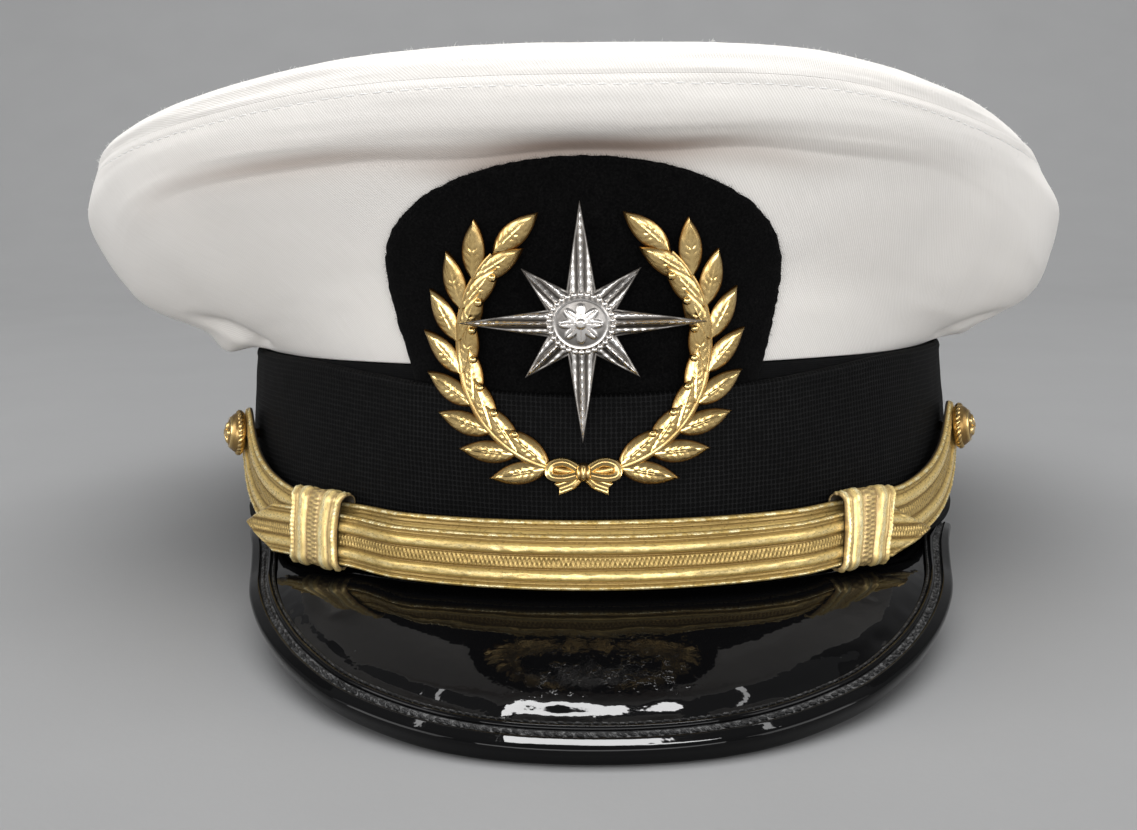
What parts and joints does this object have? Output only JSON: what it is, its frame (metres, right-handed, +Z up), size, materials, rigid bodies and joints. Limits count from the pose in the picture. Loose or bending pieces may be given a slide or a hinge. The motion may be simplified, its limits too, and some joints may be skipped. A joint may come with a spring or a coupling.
{
  "type": "peaked cap",
  "caption": "Peaked dress cap: white cloth crown on an oval black band with a woven braid, felt-backed badge, bound gloss visor and a gold lace strap held by keepers and side buttons.",
  "frame": {"origin": "centre of the bounding box in plan, on the surface that the cap rests on", "axes": "+Z up from the table, -Y to the front of the cap where the visor is, +X to the side that is on the right seen from the front"},
  "size_m": [0.2348, 0.2884, 0.117],
  "materials": {
    "white_twill": "matt cotton twill",
    "black_cloth": "matt cloth",
    "black_braid": "ribbed waffle weave",
    "black_felt": "wool felt",
    "patent_leather": "high gloss",
    "gold_lace": "metallic thread lace",
    "gold_metal": "polished",
    "silver_metal": "polished, slightly warm"
  },
  "bodies": {
    "root": {"crown_top": "white_twill", "crown_side": "white_twill", "band": "black_cloth", "braid": "black_braid", "badge_tab": "black_felt", "badge_star": "silver_metal", "badge_wreath": "gold_metal", "visor": "patent_leather", "visor_binding": "patent_leather", "strap_back": "gold_lace", "strap_front": "gold_lace", "keeper_left": "gold_lace", "keeper_right": "gold_lace", "button_left": "gold_metal", "button_right": "gold_metal"}
  },
  "joints": []
}
